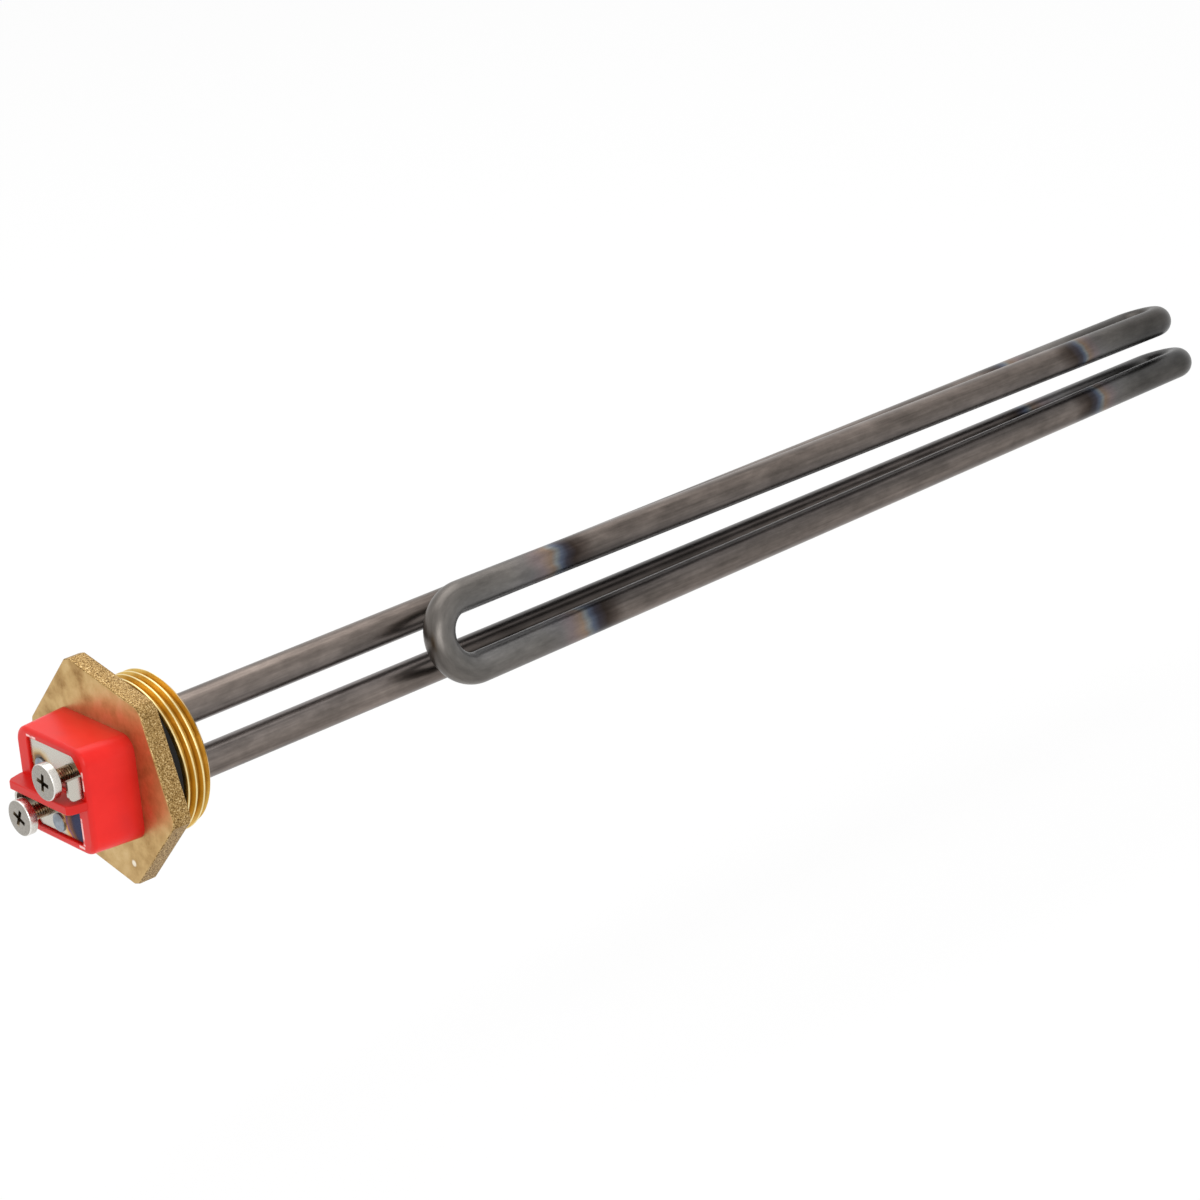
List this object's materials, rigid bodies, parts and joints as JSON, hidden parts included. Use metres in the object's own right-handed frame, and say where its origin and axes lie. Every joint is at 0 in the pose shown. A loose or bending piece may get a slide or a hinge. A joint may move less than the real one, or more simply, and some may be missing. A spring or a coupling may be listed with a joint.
{
  "type": "screw plug immersion heater",
  "caption": "Hexagonal brass screw plug with a folded tubular heating element on one side and a barrier terminal block with clamp screws on the other, for heating liquid in a tank.",
  "frame": {"origin": "on the plug axis at the start of the thread, in the plane where the gasket seals", "axes": "+X along the plug axis into the tank, +Z towards the top of the terminal block, +Y to the left as seen from the terminals"},
  "size_m": [0.4237, 0.0574, 0.0558],
  "materials": {
    "plug_brass": "turned on the front face and thread, blasted on the flats",
    "gasket_rubber": "moulded, matt",
    "block_red": "moulded, glossy",
    "plate_nickel": "nickel plated, tinted by the weld",
    "screw_nickel": "nickel plated, bright",
    "sheath_alloy": "drawn tube, oxidised, with temper colours beside the bends",
    "magnesia": "compacted powder",
    "heating_wire": "drawn wire",
    "pin_steel": "welded end, blued",
    "seal_silicone": "cast",
    "bush_ceramic": "fired",
    "braze_metal": "run braze"
  },
  "bodies": {
    "heater": {"screw_plug": "plug_brass", "gasket": "gasket_rubber", "terminal_block": "block_red", "terminal_plate_upper": "plate_nickel", "terminal_plate_lower": "plate_nickel", "element_sheath": "sheath_alloy", "magnesia_fill": "magnesia", "resistance_coil": "heating_wire", "cold_pin_upper": "pin_steel", "cold_pin_lower": "pin_steel", "end_seal_upper": "seal_silicone", "end_seal_lower": "seal_silicone", "pin_bush_upper": "bush_ceramic", "pin_bush_lower": "bush_ceramic", "braze_fillet_upper": "braze_metal", "braze_fillet_lower": "braze_metal"},
    "upper_screw": {"terminal_screw_upper": "screw_nickel"},
    "lower_screw": {"terminal_screw_lower": "screw_nickel"}
  },
  "joints": [
    {"name": "upper_screw_travel", "type": "slide", "parent": "heater", "child": "upper_screw", "axis": [1, 0, 0], "range_m": [0, 0.0052]},
    {"name": "lower_screw_travel", "type": "slide", "parent": "heater", "child": "lower_screw", "axis": [1, 0, 0], "range_m": [0, 0.0048]}
  ]
}
